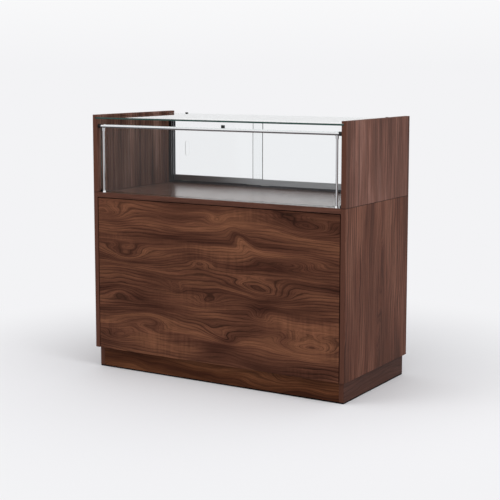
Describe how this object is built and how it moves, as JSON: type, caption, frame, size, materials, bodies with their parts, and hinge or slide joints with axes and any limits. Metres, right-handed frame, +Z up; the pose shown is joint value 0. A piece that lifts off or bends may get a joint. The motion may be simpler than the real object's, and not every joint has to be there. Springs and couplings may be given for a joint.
{
  "type": "glass display counter",
  "caption": "Shop counter: a closed wooden base with staff side doors, and on it a glass display case with a steel guard rail in front and sliding glass doors behind.",
  "frame": {"origin": "on the floor, in the middle of the box round the whole counter", "axes": "+X to the right as the customer sees it, +Y from the customer to the staff side, +Z up"},
  "size_m": [1.05, 0.528, 0.95],
  "materials": {
    "walnut_burl": "satin, swirling figure",
    "walnut": "satin, straight grain",
    "raw_wood": "bare",
    "glass": "clear, polished green edges",
    "steel": "polished",
    "aluminium": "satin anodised",
    "dark_channel": "dark grey satin",
    "white_guide": "white",
    "black_plastic": "matt",
    "nylon": "matt",
    "plated_steel": "zinc or nickel plated"
  },
  "bodies": {
    "carcass": {"base_floor": "walnut", "base_shelf": "walnut", "base_side_left": "walnut", "base_side_right": "walnut", "card_clip": "black_plastic", "catch_magnets": "nylon", "deck": "walnut", "display_side_left": "walnut", "display_side_right": "walnut", "dowels": "raw_wood", "foot_pads": "black_plastic", "foot_stems": "steel", "front_pane": "glass", "front_panel": "walnut_burl", "glass_clips": "black_plastic", "glass_top": "glass", "guard_rail": "steel", "hinge_frame_leaves": "plated_steel", "hinge_pins": "plated_steel", "pane_clip_left": "black_plastic", "pane_clip_right": "black_plastic", "panel_blocks": "nylon", "plinth_back": "walnut", "plinth_corner_blocks": "raw_wood", "plinth_front": "walnut_burl", "plinth_side_left": "walnut", "plinth_side_right": "walnut", "post_foot_left": "steel", "post_foot_right": "steel", "rail_cup_left": "black_plastic", "rail_cup_right": "black_plastic", "rail_post_left": "steel", "rail_post_right": "steel", "rail_tee_left": "steel", "rail_tee_right": "steel", "shelf_pins": "steel", "side_channel_left": "dark_channel", "side_channel_right": "dark_channel", "stop_rail": "walnut", "track_bottom": "dark_channel", "track_top": "white_guide"},
    "left_glass_door": {"glass_door_left": "glass", "door_rail_left": "aluminium", "door_glides_left": "nylon"},
    "right_glass_door": {"glass_door_right": "glass", "door_rail_right": "aluminium", "door_glides_right": "nylon"},
    "left_base_door": {"base_door_left": "walnut", "hinge_door_leaves_left": "plated_steel", "door_handle_left": "steel", "strike_plate_left": "plated_steel"},
    "right_base_door": {"base_door_right": "walnut", "hinge_door_leaves_right": "plated_steel", "door_handle_right": "steel", "strike_plate_right": "plated_steel", "lock_barrel": "plated_steel"},
    "lock_core": {"lock_plug": "plated_steel", "lock_cam": "plated_steel"}
  },
  "joints": [
    {"name": "left_glass_slide", "type": "slide", "parent": "carcass", "child": "left_glass_door", "axis": [1, 0, 0], "range_m": [0, 0.574]},
    {"name": "right_glass_slide", "type": "slide", "parent": "carcass", "child": "right_glass_door", "axis": [-1, 0, 0], "range_m": [0, 0.378]},
    {"name": "left_door_swing", "type": "hinge", "parent": "carcass", "child": "left_base_door", "pos_m": [-0.5055, 0.2393, 0.36], "axis": [0, 0, 1], "range_deg": [0, 170]},
    {"name": "right_door_swing", "type": "hinge", "parent": "carcass", "child": "right_base_door", "pos_m": [0.5055, 0.2393, 0.36], "axis": [0, 0, -1], "range_deg": [0, 170]},
    {"name": "lock_turn", "type": "hinge", "parent": "right_base_door", "child": "lock_core", "pos_m": [0.0365, 0.2155, 0.57], "axis": [0, -1, 0], "range_deg": [0, 90]}
  ]
}
